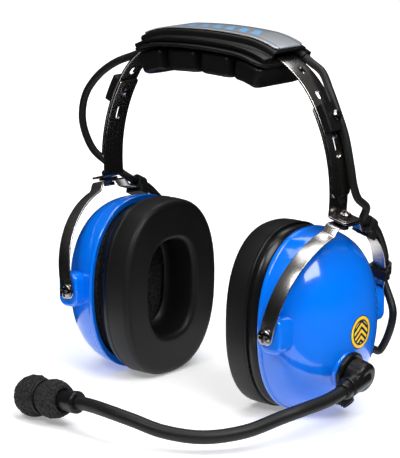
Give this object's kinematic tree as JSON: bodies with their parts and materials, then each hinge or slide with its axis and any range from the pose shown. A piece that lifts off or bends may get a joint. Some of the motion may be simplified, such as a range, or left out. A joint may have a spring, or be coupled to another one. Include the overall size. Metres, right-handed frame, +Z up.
{
  "type": "aviation headset",
  "caption": "Over-ear pilot headset: blue oval ear cups in steel stirrups, padded spring headband, sliding height arms and a gooseneck boom with a foam-covered microphone.",
  "frame": {"origin": "centre of the bounding box's footprint, on the surface the headset stands on", "axes": "+Z up from the cups to the headband's crown; +X towards the wearer's left ear; the wearer looks along -Y"},
  "size_m": [0.2244, 0.1809, 0.2084],
  "materials": {
    "band_steel": "brushed spring steel",
    "dark_steel": "dark plated, polished",
    "shell_blue": "high gloss",
    "seal_vinyl": "soft vinyl skin over foam, matt in front and shiny behind the seam",
    "pad_vinyl": "satin moulded vinyl",
    "black_plastic": "satin moulded",
    "lead_rubber": "smooth satin",
    "muff_foam": "open-cell foam",
    "inner_foam": "open-cell foam",
    "label_print": "silver film with a printed pattern",
    "board_green": "lacquered board"
  },
  "bodies": {
    "headband": {"headband_spring": "band_steel", "pad_cover": "pad_vinyl", "pad_base": "black_plastic", "pad_cell_1": "pad_vinyl", "pad_cell_2": "pad_vinyl", "pad_cell_3": "pad_vinyl", "pad_cell_4": "pad_vinyl", "label_plate": "label_print", "lead_top": "lead_rubber", "left_lead_upper": "lead_rubber", "right_lead_upper": "lead_rubber"},
    "left_arm": {"left_slider_arm": "band_steel", "left_clamp_block": "black_plastic", "left_clamp_screw": "dark_steel", "left_swivel_screw": "dark_steel", "left_swivel_nut": "dark_steel", "left_swivel_washer": "lead_rubber", "left_lead_middle": "lead_rubber"},
    "left_stirrup": {"left_stirrup": "band_steel", "left_lead_clip_upper": "black_plastic", "left_lead_clip_lower": "black_plastic", "left_lead_lower": "lead_rubber"},
    "left_cup": {"left_cup_shell": "shell_blue", "left_seal_plate": "black_plastic", "left_ear_seal": "seal_vinyl", "left_liner_foam": "inner_foam", "left_speaker": "black_plastic", "left_pivot_screw_front": "dark_steel", "left_pivot_screw_rear": "dark_steel", "left_lead_gland": "lead_rubber", "boom_swivel_disc": "black_plastic", "mic_board": "board_green", "main_lead_gland": "lead_rubber"},
    "right_arm": {"right_slider_arm": "band_steel", "right_clamp_block": "black_plastic", "right_clamp_screw": "dark_steel", "right_swivel_screw": "dark_steel", "right_swivel_nut": "dark_steel", "right_swivel_washer": "lead_rubber", "right_lead_middle": "lead_rubber"},
    "right_stirrup": {"right_stirrup": "band_steel", "right_lead_clip_upper": "black_plastic", "right_lead_clip_lower": "black_plastic", "right_lead_lower": "lead_rubber"},
    "right_cup": {"right_cup_shell": "shell_blue", "right_seal_plate": "black_plastic", "right_ear_seal": "seal_vinyl", "right_liner_foam": "inner_foam", "right_speaker": "black_plastic", "right_pivot_screw_front": "dark_steel", "right_pivot_screw_rear": "dark_steel", "right_lead_gland": "lead_rubber"},
    "boom": {"boom_elbow": "black_plastic", "boom_collar": "dark_steel", "boom_gooseneck": "lead_rubber", "mic_holder": "black_plastic", "mic_capsule": "dark_steel", "mic_muff": "muff_foam", "muff_ring": "lead_rubber"}
  },
  "joints": [
    {"name": "left_height_adjust", "type": "hinge", "parent": "headband", "child": "left_arm", "pos_m": [-0.0087, 0.0332, 0.1235], "axis": [0, 1, 0], "range_deg": [0, 12], "deforming": ["left_lead_upper"]},
    {"name": "left_stirrup_swivel", "type": "hinge", "parent": "left_arm", "child": "left_stirrup", "pos_m": [0.0753, 0.0332, 0.0535], "axis": [0.23, 0, 0.9732], "range_deg": [-15, 15], "deforming": ["left_lead_middle"]},
    {"name": "left_cup_tilt", "type": "hinge", "parent": "left_stirrup", "child": "left_cup", "pos_m": [0.0753, 0.0332, 0.0535], "axis": [0, -1, 0], "range_deg": [-10, 10], "deforming": ["left_lead_lower"]},
    {"name": "right_height_adjust", "type": "hinge", "parent": "headband", "child": "right_arm", "pos_m": [0.0133, 0.0332, 0.1235], "axis": [0, -1, 0], "range_deg": [0, 12], "deforming": ["right_lead_upper"]},
    {"name": "right_stirrup_swivel", "type": "hinge", "parent": "right_arm", "child": "right_stirrup", "pos_m": [-0.0707, 0.0332, 0.0535], "axis": [-0.23, 0, 0.9732], "range_deg": [-15, 15], "deforming": ["right_lead_middle"]},
    {"name": "right_cup_tilt", "type": "hinge", "parent": "right_stirrup", "child": "right_cup", "pos_m": [-0.0707, 0.0332, 0.0535], "axis": [0, 1, 0], "range_deg": [-10, 10], "deforming": ["right_lead_lower"]},
    {"name": "boom_swivel", "type": "hinge", "parent": "left_cup", "child": "boom", "pos_m": [0.0979, 0.0276, 0.0293], "axis": [0.9781, 0, -0.2079], "range_deg": [-80, 60]}
  ]
}
